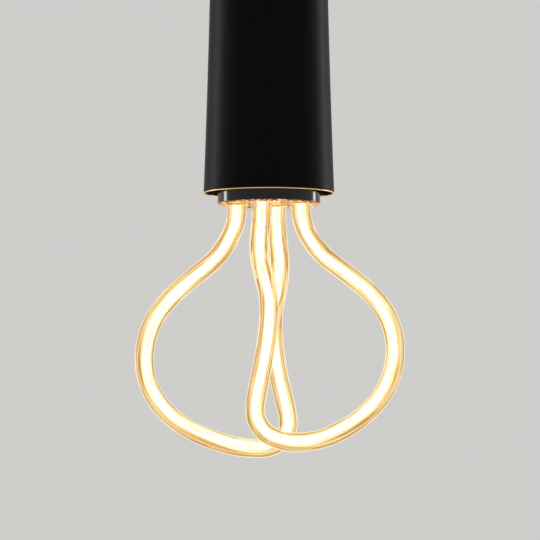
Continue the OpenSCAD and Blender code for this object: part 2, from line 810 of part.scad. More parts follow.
stem();
grub_screw();
holder_cap();
holder_skirt();
sleeve_washer();
terminal_block();
screw_shell();
shell_rivets();
block_screws();
line_strip();
neutral_strip();
line_terminal();
neutral_terminal();
terminal_screws();
contact_spring();
contact_plunger();
plunger_clip();
sleeve();
ring_nut();
cap_shell();
cap_insulator();
cap_contact();
neck();
housing();
end_plate();
reflector();
tube_a();
tube_b();
filament_a();
filament_b();
tube_grommets();
tube_plugs();
driver_board();
board_screws();
bulk_capacitor();
inductor();
bridge_rectifier();
film_capacitor();
fuse_resistor();
driver_ic();
lamp_wires();
line_wire();
neutral_wire();
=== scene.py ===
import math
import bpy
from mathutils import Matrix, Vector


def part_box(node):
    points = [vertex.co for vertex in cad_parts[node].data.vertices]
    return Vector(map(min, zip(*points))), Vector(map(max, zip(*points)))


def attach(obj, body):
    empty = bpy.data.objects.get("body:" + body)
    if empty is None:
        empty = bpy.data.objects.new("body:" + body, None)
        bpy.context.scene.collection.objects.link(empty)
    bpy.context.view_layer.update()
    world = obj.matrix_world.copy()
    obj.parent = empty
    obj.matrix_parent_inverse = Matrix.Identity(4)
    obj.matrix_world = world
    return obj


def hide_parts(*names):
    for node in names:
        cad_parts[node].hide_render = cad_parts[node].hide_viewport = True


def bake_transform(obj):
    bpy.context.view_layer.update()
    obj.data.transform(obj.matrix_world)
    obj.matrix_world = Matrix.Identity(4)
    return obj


bl_info = {
    "name": "Loop Bulb Looks",
    "version": (1, 0, 0),
    "blender": (4, 5, 0),
    "location": "View3D > Sidebar > Loop Bulb",
    "description": "Visible pieces, finishes and studio of a glowing loop bulb in its black pendant holder",
    "category": "Object",
}

import bpy
from bpy.props import FloatProperty, FloatVectorProperty, IntProperty, PointerProperty
from bpy.types import Operator, Panel, PropertyGroup
from mathutils import Vector

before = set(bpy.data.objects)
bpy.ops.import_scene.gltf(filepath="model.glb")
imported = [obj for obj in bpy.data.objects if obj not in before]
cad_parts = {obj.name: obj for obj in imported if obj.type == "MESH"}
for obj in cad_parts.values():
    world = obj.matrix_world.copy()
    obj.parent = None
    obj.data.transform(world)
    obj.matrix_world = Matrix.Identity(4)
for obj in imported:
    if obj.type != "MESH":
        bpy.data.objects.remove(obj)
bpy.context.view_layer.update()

TURN = 2 * math.pi
MM = 0.001
# Edges that bend by more than this stay sharp
SHARP = math.radians(38)
# Points within this distance are one point
SAME_POINT = 0.001 * MM


# Places taken from the frame


def outer_radius(node):
    """Radius of a node that is round about the lamp's axis."""
    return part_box(node)[1].x


def levels(node):
    """Heights of a node's lowest and highest points."""
    low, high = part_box(node)
    return low.z, high.z


def low_z(node):
    return levels(node)[0]


def high_z(node):
    return levels(node)[1]


def around(radius, turn, z=0):
    """A point at this radius and turn round the lamp's axis."""
    return Vector((radius * math.cos(turn), radius * math.sin(turn), z))


PLATE_Z = low_z("end_plate")

# The route of each loop, as shares of its reach, bulge and drop below the end
# plate: loop a stands on the right and bulges forward, loop b on the left and
# bulges backward.
ROUTE_A = [
    (0.395, -0.07, 0.215), (0.59, -0.13, 0.285), (0.96, -0.2, 0.455),
    (1, -0.3, 0.695), (0.805, -0.41, 0.885), (0.4, -0.54, 1.015),
    (0.045, -0.74, 1.02), (-0.145, -0.94, 0.925), (-0.055, -1.04, 0.755),
    (0.03, -0.915, 0.45), (-0.05, -0.615, 0.315), (-0.085, -0.38, 0.2),
]
ROUTE_B = [
    (-0.395, 0.07, 0.225), (-0.555, 0.13, 0.285), (-0.93, 0.2, 0.45),
    (-1.015, 0.3, 0.7), (-0.805, 0.41, 0.89), (-0.395, 0.54, 0.995),
    (0.035, 0.74, 1.025), (0.2, 0.94, 0.915), (0.075, 1.04, 0.725),
    (0.01, 0.915, 0.435), (0.09, 0.615, 0.315), (0.085, 0.38, 0.19),
]
LOOP_REACH = 71 * MM
LOOP_BULGE = 70 * MM
LOOP_DROP = 131.5 * MM
# Straight stretch below the plate, and where the feet stand round the axis
FOOT_STEP = 12 * MM
FOOT_RADIUS = 18.25 * MM
FOOT_TURN = math.radians(13)
# The two feet of loop a, then those of loop b
FEET = [
    around(FOOT_RADIUS, turn, PLATE_Z)
    for turn in (-FOOT_TURN, -FOOT_TURN - TURN / 4, TURN / 2 - FOOT_TURN, TURN / 4 - FOOT_TURN)
]
# Axes of the three bosses that the driver board is screwed to
BOSSES = [around(22.85 * MM, TURN / 12 + TURN * k / 3) for k in range(3)]


# Settings that a user would change


def length(name, description, default):
    return FloatProperty(
        name=name, description=description, default=default, min=0, unit="LENGTH", precision=5
    )


def count(name, description, default):
    return IntProperty(name=name, description=description, default=default, min=1)


def amount(name, description, default):
    return FloatProperty(name=name, description=description, default=default, min=0)


def colour(name, description, default):
    return FloatVectorProperty(
        name=name, description=description, default=default, min=0, max=1, subtype="COLOR"
    )


class TubeSettings(PropertyGroup):
    """Sizes and colours of the glowing loops."""

    tube_radius: length("Tube radius", "Outer radius of the clear tube", 5.3 * MM)
    tube_wall: length("Tube wall", "Wall of the clear tube", 0.9 * MM)
    jacket_radius: length("Jacket radius", "Radius of the soft jacket round the lit core", 3.2 * MM)
    core_radius: length("Core radius", "Radius of the lit core", 2.1 * MM)
    waviness: length("Waviness", "Unevenness of the drawn tube", 0.2 * MM)
    lean: length("Lean", "How far the filament leans to the inner side of the bends", 1.1 * MM)
    wander: length("Wander", "How far the filament wanders inside its tube", 1.4 * MM)
    core_colour: colour("Core", "Light of the core", (1.0, 0.84, 0.64))
    core_power: amount("Core power", "Strength of the core's light", 15)
    jacket_colour: colour("Jacket", "Light of the jacket", (1.0, 0.78, 0.36))
    jacket_power: amount("Jacket power", "Strength of the jacket's light", 3.0)
    cream: colour("Cream", "Bright lines along the tube", (1.0, 0.82, 0.45))
    straw: colour("Straw", "Paler glow inside the wall", (0.9, 0.58, 0.2))
    amber: colour("Amber", "Glow inside the wall", (0.7, 0.34, 0.07))
    brown: colour("Brown", "Darkest glow inside the wall", (0.3, 0.12, 0.02))


class SleeveSettings(PropertyGroup):
    """Sizes and colours of the black sleeve and of what carries it."""

    rim_radius: length("Rim radius", "Outer radius at the open rim", outer_radius("sleeve"))
    top_radius: length("Top radius", "Outer radius at the top", 32.45 * MM)
    sag: length("Sag", "Inward sag of the flare", 0.25 * MM)
    wall: length("Wall", "Wall of the sleeve", 1.0 * MM)
    edge: length("Edge", "Outer radius of the upper edge", 5.0 * MM)
    lip: length("Lip", "Rounding of the rim", 0.42 * MM)
    bore: length("Bore", "Radius of the hole for the stem", 5.2 * MM)
    lacquer: colour("Lacquer", "Satin black lacquer", (0.0022, 0.0023, 0.0023))
    # Bare metal of the rim's lip; its gold tint is a painted reflection of the tubes' warm light.
    lip_metal_and_reflection: colour("Bare edge", "Metal of the bare rim", (0.95, 0.64, 0.28))
    stem_pitch: length("Stem pitch", "Pitch of the stem's thread", 1.0 * MM)
    stem_depth: length("Stem thread", "Depth of the stem's thread", 0.55 * MM)
    stem_bore: length("Stem bore", "Radius of the stem's bore", 3.5 * MM)
    nut_flats: length("Nut", "Width across the nut's flats", 17 * MM)


class BulbSettings(PropertyGroup):
    """Sizes and colours of the bulb's housing, end plate and screw cap."""

    wall: length("Wall", "Wall of the housing", 1.6 * MM)
    housing_edge: length("Housing edge", "Rounding of the housing's edges", 0.25 * MM)
    dome_shoulder: length("Shoulder", "Radius of the dome where the screw cap starts", 13.8 * MM)
    step_radius: length("Step", "Radius of the steps that slip into the housing", 26.65 * MM)
    black: colour("Black", "Glossy black of the housing", (0.004, 0.004, 0.0042))
    bead_radius: length("Bead", "Radius of the glinting beads on the end plate", 0.75 * MM)
    outer_beads: count("Outer beads", "Beads on the end plate's outer ring", 28)
    inner_beads: count("Inner beads", "Beads on the end plate's inner ring", 24)
    plate_glow: amount("Plate glow", "Strength of the light that the end plate carries", 1.3)
    bead_glow: amount("Bead glow", "Strength of the light in the beads", 1.0)
    thread_pitch: length("Pitch", "Pitch of the screw cap's thread", 3.63 * MM)
    thread_depth: length("Thread", "Depth of the screw cap's thread", 1.1 * MM)
    cap_bore: length("Cap bore", "Inner radius of the screw cap", 11.5 * MM)


class StageSettings(PropertyGroup):
    """Floor, lights and camera."""

    floor_drop: length("Floor drop", "Distance of the floor below the stem's end", 2.3)
    backdrop: colour("Backdrop", "Pale background", (0.62, 0.615, 0.6))
    paint: colour("Floor", "Pale paint of the floor", (0.76, 0.755, 0.74))
    ambient: amount("Ambient", "Strength of the room's light", 0.75)
    strip_power: amount("Strip power", "Power of a strip light for each metre of its width", 60)
    camera_lens: amount("Lens", "Focal length of the camera in millimetres", 364.2)
    camera_tilt: FloatProperty(
        name="Tilt", description="Upward tilt of the camera", default=math.radians(4.303), subtype="ANGLE"
    )
    camera_side: length("Side", "Camera's place to the right", 0.6 * MM)
    camera_distance: length("Distance", "Camera's distance in front of the lamp", 3.0)
    camera_drop: length("Camera drop", "Camera's depth below the end plate", 261.9 * MM)


# Shader maths


class Socket:
    """An output socket that plain arithmetic turns into Math nodes."""

    def __init__(self, nodes, socket):
        self.nodes = nodes
        self.socket = socket

    def maths(self, operation, *values):
        return self.nodes.add("Math", {"operation": operation}, dict(enumerate(values)))

    def __add__(self, other):
        return self.maths("ADD", self, other)

    def __radd__(self, other):
        return self.maths("ADD", other, self)

    def __sub__(self, other):
        return self.maths("SUBTRACT", self, other)

    def __rsub__(self, other):
        return self.maths("SUBTRACT", other, self)

    def __mul__(self, other):
        return self.maths("MULTIPLY", self, other)

    def __rmul__(self, other):
        return self.maths("MULTIPLY", other, self)


class Nodes:
    """The node tree of one material or of the world."""

    def __init__(self, owner):
        owner.use_nodes = True
        self.owner = owner
        self.tree = owner.node_tree
        self.tree.nodes.clear()

    def add(self, kind, settings=None, values=None, output=0):
        """A node with its settings, its sockets' values or links, and the output that is wanted."""
        node = self.tree.nodes.new("ShaderNode" + kind)
        for name, setting in (settings or {}).items():
            if name == "stops":
                self.set_stops(node.color_ramp.elements, setting)
            else:
                setattr(node, name, setting)
        for name, value in (values or {}).items():
            socket = node.inputs[name]
            if isinstance(value, Socket):
                self.tree.links.new(value.socket, socket)
            elif socket.type == "RGBA" and len(value) == 3:
                socket.default_value = (*value, 1)
            else:
                socket.default_value = value
        return Socket(self, node.outputs[output]) if node.outputs else None

    def set_stops(self, elements, stops):
        while len(elements) < len(stops):
            elements.new(1)
        for element, (place, shade) in zip(elements, stops):
            element.position = place
            element.color = (*shade, 1)

    def place(self, scale=(1, 1, 1), turn=(0, 0, 0)):
        """Object coordinates in metres, stretched by scale and then turned."""
        here = self.add("TexCoord", output="Object")
        if scale == (1, 1, 1) and turn == (0, 0, 0):
            return here
        return self.add("Mapping", {}, {"Vector": here, "Scale": scale, "Rotation": turn})

    def axes(self, vector):
        """The three numbers of a vector."""
        node = self.add("SeparateXYZ", {}, {"Vector": vector}).socket.node
        return [Socket(self, number) for number in node.outputs]

    def noise(self, where, scale, detail=3, roughness=0.5):
        values = {"Vector": where, "Scale": scale, "Detail": detail, "Roughness": roughness}
        return self.add("TexNoise", {}, values)

    def facing(self):
        """0 where a surface faces the eye, and 1 where it turns away."""
        return self.add("LayerWeight", {}, {"Blend": 0.5}, output="Facing")

    def spread(self, value, low, high, to_low=0.0, to_high=1.0):
        """A smooth step of value between low and high."""
        values = {"Value": value, "From Min": low, "From Max": high, "To Min": to_low, "To Max": to_high}
        return self.add("MapRange", {"interpolation_type": "SMOOTHSTEP"}, values)

    def blend(self, factor, first, second):
        """A colour between two colours. Sockets 6 and 7 and output 2 are the Mix node's colours."""
        return self.add("Mix", {"data_type": "RGBA"}, {0: factor, 6: first, 7: second}, output=2)

    def ramp(self, value, stops):
        return self.add("ValToRGB", {"stops": stops}, {"Fac": value})

    def bump(self, height, depth, strength=1.0):
        """Normals of a relief that is depth metres high."""
        return self.add("Bump", {}, {"Height": height, "Distance": depth, "Strength": strength})

    def surface(self, values):
        """A principled surface, wired to the output, and its material."""
        self.add("OutputMaterial", {}, {"Surface": self.add("BsdfPrincipled", {}, values)})
        return self.owner


def material(name):
    return Nodes(bpy.data.materials.new(name))


def shaded(shade, factor, lift=0.0):
    """A colour made darker or paler, within 0 to 1."""
    return [min(1, part * factor + lift) for part in shade]


# Finishes


def satin_lacquer(settings):
    """Satin black lacquer with a fine orange peel, and bare metal on the rim's lip, tinted gold as a painted
    reflection of the tubes' warm light.
    """
    nodes = material("satin_lacquer")
    here = nodes.place()
    peel = nodes.noise(here, 900, 2)
    clouds = nodes.noise(here, 28, 4, 0.6)
    height = nodes.axes(here)[2]
    rim = low_z("sleeve")
    # Mask of the lip's bare metal, whose gold tint is a painted reflection of the tubes' warm light.
    bare = nodes.spread(height, rim + 0.75 * settings.lip, rim + 1.3 * settings.lip, 1.0, 0.0)
    tint = nodes.blend(clouds, settings.lacquer, shaded(settings.lacquer, 1.5))
    return nodes.surface({
        "Base Color": nodes.blend(bare, tint, settings.lip_metal_and_reflection),
        "Metallic": bare,
        "Roughness": 0.37 + 0.08 * clouds,
        "Specular IOR Level": 0.036,
        "Normal": nodes.bump(peel, 0.005 * MM),
    })


def gloss_moulding(name, shade):
    """Polished black moulding with faint flow clouds and hairline scratches."""
    nodes = material(name)
    flow = nodes.noise(nodes.place((1, 1, 0.25)), 45, 3)
    dust = nodes.spread(nodes.noise(nodes.place(), 1400, 1), 0.7, 0.78)
    hairs = nodes.noise(nodes.place((1, 1, 14), (0.5, 0.2, 0)), 160, 4, 0.7)
    return nodes.surface({
        "Base Color": nodes.blend(flow, shade, shaded(shade, 1.6)),
        "Roughness": 0.12 + 0.06 * flow + 0.16 * dust,
        "Specular IOR Level": 0.35,
        "Normal": nodes.bump(hairs, 0.003 * MM, 0.5),
    })


def matt_moulding(name, shade):
    """Moulded plastic with a spark-eroded grain and slightly paler flow marks."""
    nodes = material(name)
    grain = nodes.noise(nodes.place(), 1800, 3, 0.7)
    flow = nodes.noise(nodes.place((1, 1, 0.4)), 60, 4)
    return nodes.surface({
        "Base Color": nodes.blend(flow, shade, shaded(shade, 1.7, 0.002)),
        "Roughness": 0.42 + 0.14 * grain,
        "Specular IOR Level": 0.35,
        "Normal": nodes.bump(grain, 0.018 * MM),
    })


def worked_metal(name, shade, rough, along=(0.02, 0.02, 1)):
    """Metal with fine tool lines, which run round the Z axis unless along says otherwise, and tarnish."""
    nodes = material(name)
    tool = nodes.noise(nodes.place(along), 2600, 2)
    tarnish = nodes.noise(nodes.place(), 140, 4, 0.6)
    return nodes.surface({
        "Base Color": nodes.blend(tarnish, shade, shaded(shade, 0.72)),
        "Metallic": 1.0,
        "Roughness": rough + 0.12 * tool + 0.1 * tarnish,
        "Normal": nodes.bump(tool, 0.006 * MM),
    })


def soft_rubber(name, shade):
    """Matt rubber or silicone with a bloom of dust."""
    nodes = material(name)
    bloom = nodes.noise(nodes.place(), 320, 5, 0.65)
    return nodes.surface({
        "Base Color": nodes.blend(bloom, shade, shaded(shade, 1.15, 0.01)),
        "Roughness": 0.55 + 0.25 * bloom,
        "Normal": nodes.bump(bloom, 0.02 * MM),
    })


def fired_ceramic():
    """Unglazed ceramic with fine pores and kiln speckle."""
    nodes = material("fired_ceramic")
    here = nodes.place()
    pores = nodes.noise(here, 1500, 3, 0.8)
    speckle = nodes.spread(nodes.noise(here, 700, 2), 0.62, 0.72)
    warm = nodes.blend(nodes.noise(here, 70), (0.84, 0.81, 0.74), (0.74, 0.69, 0.6))
    return nodes.surface({
        "Base Color": nodes.blend(speckle, warm, (0.5, 0.42, 0.33)),
        "Roughness": 0.6 + 0.2 * pores,
        "Normal": nodes.bump(pores, 0.03 * MM),
    })


def thick_coat(name, shade, second, scale=180.0):
    """Thick lacquer or dip coat whose colour wanders between two shades."""
    nodes = material(name)
    clouds = nodes.noise(nodes.place(), scale, 4, 0.6)
    return nodes.surface({
        "Base Color": nodes.blend(clouds, shade, second),
        "Roughness": 0.2 + 0.15 * clouds,
        "Coat Weight": 0.4,
        "Normal": nodes.bump(clouds, 0.05 * MM),
    })


def tube_angle(nodes):
    """Cosine and sine of the angle round a tube, and the share of its length."""
    along, around, _ = nodes.axes(nodes.add("TexCoord", output="UV"))
    angle = around * TURN
    return angle.maths("COSINE", angle), angle.maths("SINE", angle), along


def streaks(nodes, scale, drift, detail, roughness):
    """Noise that is drawn out along a tube: drift is how often it changes over the whole length."""
    cosine, sine, along = tube_angle(nodes)
    where = nodes.add("CombineXYZ", {}, {"X": cosine, "Y": sine, "Z": along * drift})
    return nodes.noise(where, scale, detail, roughness)


def near_feet(nodes):
    """1 by both feet of a loop, and 0 along its bends."""
    middle = tube_angle(nodes)[2] - 0.5
    return nodes.spread(middle.maths("ABSOLUTE", middle), 0.36, 0.49)


def clear_wall(settings):
    """Outside of the clear tube: drawn streaks, and the wall's depth with a bright line at its edge."""
    nodes = material("clear_wall")
    lines = nodes.spread(streaks(nodes, 4.2, 4, 1, 0.5), 0.5, 0.57)
    facing = nodes.facing()
    depth = nodes.spread(facing, 0.35, 0.58)
    limb = nodes.spread(facing, 0.6, 0.7)
    glow = nodes.blend(lines, shaded(settings.amber, 0.7), settings.cream)
    return nodes.surface({
        "Base Color": shaded(settings.amber, 0.04),
        "Roughness": 0.25,
        "Specular IOR Level": 0.04,
        "Alpha": 0.08 + 0.3 * lines + 0.58 * depth,
        "Emission Color": nodes.blend(limb, glow, settings.cream),
        "Emission Strength": 1.0,
    })


def amber_wall(settings):
    """Inside of the clear tube: light in brown to cream streaks, which is palest by the feet."""
    nodes = material("amber_wall")
    broad = streaks(nodes, 1.2, 9, 3, 0.6)
    fine = streaks(nodes, 3.2, 4, 1.5, 0.6)
    stops = [(0.36, settings.brown), (0.44, settings.amber), (0.51, settings.straw), (0.57, settings.cream)]
    pale = near_feet(nodes)
    glow = nodes.ramp(0.4 * broad + 0.6 * fine + 0.08 * pale, stops)
    edge = nodes.spread(nodes.facing(), 0.45, 0.7) * (0.65 - 0.5 * pale)
    return nodes.surface({
        "Base Color": shaded(settings.amber, 0.04),
        "Roughness": 0.35,
        "Specular IOR Level": 0.1,
        "Alpha": nodes.spread(fine, 0.35, 0.65, 0.8, 0.6),
        "Emission Color": nodes.blend(edge, glow, settings.brown),
        "Emission Strength": 1.0,
    })


def soft_jacket(settings):
    """Milky jacket round the lit core, in two layers, and thickest by the feet."""
    nodes = material("soft_jacket")
    cloud = streaks(nodes, 2.0, 16, 3, 0.6)
    return nodes.surface({
        "Base Color": shaded(settings.jacket_colour, 0.1),
        "Roughness": 0.5,
        "Specular IOR Level": 0.1,
        "Alpha": nodes.spread(cloud, 0.35, 0.65, 0.2, 0.5) + 0.25 * near_feet(nodes),
        "Emission Color": nodes.blend(cloud, shaded(settings.jacket_colour, 0.8), settings.jacket_colour),
        "Emission Strength": settings.jacket_power,
    })


def lit_core(settings):
    """Lit phosphor over closely set chips, which show as brighter beads."""
    nodes = material("lit_core")
    chips = 250
    phase = tube_angle(nodes)[2] * (TURN * chips)
    beads = 0.5 + 0.5 * phase.maths("SINE", phase)
    return nodes.surface({
        "Base Color": shaded(settings.core_colour, 0.9),
        "Roughness": 0.5,
        "Emission Color": nodes.blend(beads, shaded(settings.core_colour, 0.75), settings.core_colour),
        "Emission Strength": settings.core_power,
    })


def golden_plate(settings, tubes):
    """Clear end plate that carries the tubes' light: dark amber with star-like glints."""
    nodes = material("golden_plate")
    here = nodes.place()
    swirl = nodes.noise(here, 260, 3, 0.7)
    cells = nodes.add("TexVoronoi", {"feature": "DISTANCE_TO_EDGE"}, {"Vector": here, "Scale": 330})
    glint = nodes.spread(cells, 0.0, 0.12, 1.0, 0.0)
    stops = [(0.36, (0.05, 0.018, 0.002)), (0.5, tubes.brown), (0.62, tubes.amber), (0.74, tubes.cream)]
    return nodes.surface({
        "Base Color": (0.16, 0.07, 0.015),
        "Roughness": 0.14 + 0.1 * swirl,
        "Specular IOR Level": 0.12,
        "Alpha": 0.9,
        "Emission Color": nodes.ramp(0.75 * swirl + 0.22 * glint, stops),
        "Emission Strength": settings.plate_glow,
        "Normal": nodes.bump(swirl, 0.12 * MM),
    })


def golden_bead(settings, tubes):
    """Rounded bead of the clear plate that gathers the light."""
    nodes = material("golden_bead")
    swirl = nodes.noise(nodes.place(), 700, 2)
    stops = [(0.35, tubes.brown), (0.5, tubes.amber), (0.65, tubes.cream)]
    return nodes.surface({
        "Base Color": (0.4, 0.22, 0.07),
        "Roughness": 0.06 + 0.1 * swirl,
        "Specular IOR Level": 0.4,
        "Emission Color": nodes.ramp(swirl, stops),
        "Emission Strength": settings.bead_glow,
    })


def zinc_plate():
    """Bright zinc of the stem and of every screw, made once."""
    return bpy.data.materials.get("zinc_plate") or worked_metal("zinc_plate", (0.62, 0.62, 0.6), 0.22)


def circuit_board():
    """Green solder resist over copper tracks."""
    nodes = material("circuit_board")
    tracks = nodes.add(
        "TexBrick", {"offset": 0.37, "squash": 1.6},
        {
            "Vector": nodes.place(turn=(0, 0, 0.4)), "Scale": 130,
            "Mortar Size": 0.09, "Mortar Smooth": 0.2,
        },
        output="Fac",
    )
    weave = nodes.noise(nodes.place(), 1900, 2)
    resist = nodes.blend(weave, (0.008, 0.1, 0.035), (0.012, 0.14, 0.05))
    return nodes.surface({
        "Base Color": nodes.blend(tracks, resist, (0.03, 0.24, 0.09)),
        "Roughness": 0.28 + 0.15 * weave,
        "Coat Weight": 0.3,
        "Normal": nodes.bump(tracks, 0.03 * MM),
    })


def banded_lacquer(centre, radius, bands):
    """Blue resistor lacquer with coloured bands square to X, at their places from the centre."""
    nodes = material("banded_lacquer")
    across = nodes.axes(nodes.place())[0] - centre
    clouds = nodes.noise(nodes.place(), 500, 3)
    shade = nodes.blend(clouds, (0.06, 0.22, 0.4), (0.1, 0.32, 0.5))
    for place, tint in bands:
        near = across.maths("ABSOLUTE", across - place)
        shade = nodes.blend(nodes.spread(near, 0.16 * radius, 0.24 * radius, 1.0, 0.0), shade, tint)
    return nodes.surface({"Base Color": shade, "Roughness": 0.22 + 0.15 * clouds, "Coat Weight": 0.3})


# Modelling by hand


def select_only(*objects):
    """Nothing but these objects is selected, and the first is active."""
    if bpy.context.object and bpy.context.object.mode != "OBJECT":
        bpy.ops.object.mode_set(mode="OBJECT")
    bpy.ops.object.select_all(action="DESELECT")
    for obj in objects:
        obj.select_set(True)
    if objects:
        bpy.context.view_layer.objects.active = objects[0]


def placed():
    """The active object with its place and turn put into its mesh."""
    bpy.ops.object.transform_apply(location=True, rotation=True, scale=True)
    return bpy.context.object


def apply_modifier(obj, kind, **settings):
    """Adds a modifier with its settings and applies it."""
    select_only(obj)
    modifier = obj.modifiers.new(kind.title(), kind)
    for name, value in settings.items():
        setattr(modifier, name, value)
    bpy.ops.object.modifier_apply(modifier=modifier.name)
    return obj


def bevel(obj, width):
    """Rounds the sharp edges, and keeps the flat faces flat in the light."""
    apply_modifier(obj, "BEVEL", width=width, segments=2, limit_method="ANGLE", angle_limit=SHARP)
    select_only(obj)
    bpy.ops.object.shade_smooth_by_angle(angle=SHARP)
    return apply_modifier(obj, "WEIGHTED_NORMAL", keep_sharp=True)


def rounded(corners, steps=4):
    """Points of a closed outline with corners (radius, height, rounding), each rounded by an arc."""
    points = []
    for i, (x, z, rounding) in enumerate(corners):
        here = Vector((x, z))
        if not rounding:
            points.append(here)
            continue
        before = (Vector(corners[i - 1][:2]) - here).normalized()
        after = (Vector(corners[(i + 1) % len(corners)][:2]) - here).normalized()
        half = before.angle(after) / 2
        centre = here + (before + after).normalized() * rounding / math.sin(half)
        start = here + before * rounding / math.tan(half) - centre
        end = here + after * rounding / math.tan(half) - centre
        points += [centre + start.lerp(end, k / steps).normalized() * rounding for k in range(steps + 1)]
    return points


def chain(points):
    """A line of edges through (radius, height) points in the XZ plane, left in edit mode."""
    select_only()
    bpy.ops.mesh.primitive_plane_add(size=MM, location=(points[0][0], 0, points[0][1]))
    bpy.ops.object.mode_set(mode="EDIT")
    bpy.ops.mesh.merge(type="CENTER")
    for here, there in zip(points, points[1:]):
        step = (there[0] - here[0], 0, there[1] - here[1])
        bpy.ops.mesh.extrude_vertices_move(TRANSFORM_OT_translate={"value": step})
    return bpy.context.object


def merge_doubles():
    """Selects the active object all over in edit mode and merges its doubles."""
    bpy.ops.object.mode_set(mode="EDIT")
    bpy.ops.mesh.select_all(action="SELECT")
    bpy.ops.mesh.remove_doubles(threshold=SAME_POINT)


def closed_up():
    """The active object with its doubles merged, stray edges gone and its faces turned outwards."""
    merge_doubles()
    bpy.ops.mesh.delete_loose()
    bpy.ops.mesh.select_all(action="SELECT")
    bpy.ops.mesh.normals_make_consistent(inside=False)
    bpy.ops.object.mode_set(mode="OBJECT")
    return placed()


def turned(points, steps=128):
    """A closed outline of (radius, height) points, spun round the Z axis."""
    chain(points + points[:1])
    merge_doubles()
    bpy.ops.mesh.spin(steps=steps, angle=TURN, center=(0, 0, 0), axis=(0, 0, 1))
    return closed_up()


def threaded(profile, pitch, low, high, steps):
    """A round bar whose skin is a profile that climbs by its own pitch each turn, cut flat at both ends."""
    obj = chain([(radius, low - pitch + share * pitch) for radius, share in profile])
    bpy.ops.object.mode_set(mode="OBJECT")
    placed()
    turns = math.ceil((high - low) / pitch) + 2
    apply_modifier(
        obj, "SCREW", axis="Z", screw_offset=pitch, iterations=turns, steps=steps, render_steps=steps,
        use_merge_vertices=True, merge_threshold=SAME_POINT,
    )
    merge_doubles()
    for height, direction in ((low, -1), (high, 1)):
        bpy.ops.mesh.select_all(action="SELECT")
        bpy.ops.mesh.bisect(
            plane_co=(0, 0, height), plane_no=(0, 0, direction), use_fill=True, clear_outer=True,
            threshold=SAME_POINT,
        )
    return closed_up()


def post(x, y, low, high, radius, sides=64, turn=0):
    """An upright cylinder or prism between two heights."""
    select_only()
    bpy.ops.mesh.primitive_cylinder_add(
        vertices=sides, radius=radius, depth=high - low, location=(x, y, (low + high) / 2),
        rotation=(0, 0, turn),
    )
    return placed()


def bored(obj, node, radius, sides=64):
    """An object with a hole along the lamp's axis, right through the height of a node."""
    low, high = levels(node)
    return cut(obj, post(0, 0, low - MM, high + MM, radius, sides))


def cut(obj, cutter, operation="DIFFERENCE"):
    """Cuts obj by cutter, or joins or crosses them, and deletes the cutter."""
    apply_modifier(obj, "BOOLEAN", operation=operation, solver="EXACT", object=cutter)
    bpy.data.objects.remove(cutter)
    return obj


def joined(objects):
    """Several objects made into one, with all their materials."""
    select_only(*objects)
    bpy.ops.object.join()
    return bpy.context.object


def coated(obj, *materials):
    """An object with these materials and no others."""
    obj.data.materials.clear()
    for made in materials:
        obj.data.materials.append(made)
    return obj


def softened(node, width):
    """A copy of a node's mesh with its triangles made faces again and its edges rounded."""
    obj = bpy.data.objects.new(node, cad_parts[node].data.copy())
    bpy.context.collection.objects.link(obj)
    select_only(obj)
    merge_doubles()
    bpy.ops.mesh.dissolve_limited(angle_limit=math.radians(0.5))
    bpy.ops.object.mode_set(mode="OBJECT")
    return bevel(obj, width)


def round_wire(points, radius, rounding=4, rings=0):
    """A round wire with closed ends, straight between its points or, with rings, on their cubic spline."""
    select_only()
    bpy.ops.curve.primitive_nurbs_path_add()
    curve = bpy.context.object.data
    curve.splines.clear()
    spline = curve.splines.new("NURBS" if rings else "POLY")
    spline.points.add(len(points) - 1)
    for knot, point in zip(spline.points, points):
        knot.co = (*point, 1)
    if rings:
        spline.order_u = 4
        spline.use_endpoint_u = False
        spline.resolution_u = rings
    curve.dimensions = "3D"
    curve.bevel_depth = radius
    curve.bevel_resolution = rounding
    curve.use_fill_caps = True
    bpy.ops.object.convert(target="MESH")
    return closed_up()


def finish_piece(obj, name, body, nodes, sharp=SHARP):
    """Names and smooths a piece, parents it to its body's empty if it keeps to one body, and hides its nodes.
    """
    select_only(obj)
    if not obj.data.has_custom_normals:
        bpy.ops.object.shade_smooth_by_angle(angle=sharp)
    obj.name = name
    obj.data.name = name
    if body:
        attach(obj, body)
    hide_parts(*nodes)


def soft_pieces(made, body, slot, width, *nodes):
    """Softened copies of nodes, with one finish."""
    for node in nodes:
        obj = coated(softened(node, width), made)
        finish_piece(obj, node + "_soft", body, [node])


# Loops


def loop_curve(route, feet, top, radius, rings, rounding, lean=0):
    """A round bar along a loop, straight at both feet, which end at the height top."""
    first, last = feet
    # A doubled first point makes the spline start five sixths of the way up to it
    end = Vector((0, 0, (top - PLATE_Z) * 6 / 5))
    step = Vector((0, 0, FOOT_STEP))
    points = [first + end, first + end, first, first - step]
    reach, bulge, drop = (size - lean for size in (LOOP_REACH, LOOP_BULGE, LOOP_DROP))
    points += [Vector((x * reach, y * bulge, PLATE_Z - z * drop)) for x, y, z in route]
    points += [last - step, last, last + end, last + end]
    return round_wire(points, radius, rounding, rings)


def uneven(obj, name, scale, strength, direction="NORMAL"):
    """Moves a mesh's points by cloudy noise, along their normals or any way."""
    texture = bpy.data.textures.get(name) or bpy.data.textures.new(name, "CLOUDS")
    texture.noise_scale = scale
    texture.cloud_type = "GRAYSCALE" if direction == "NORMAL" else "COLOR"
    return apply_modifier(
        obj, "DISPLACE", texture=texture, strength=strength, mid_level=0.5, texture_coords="LOCAL",
        direction=direction,
    )


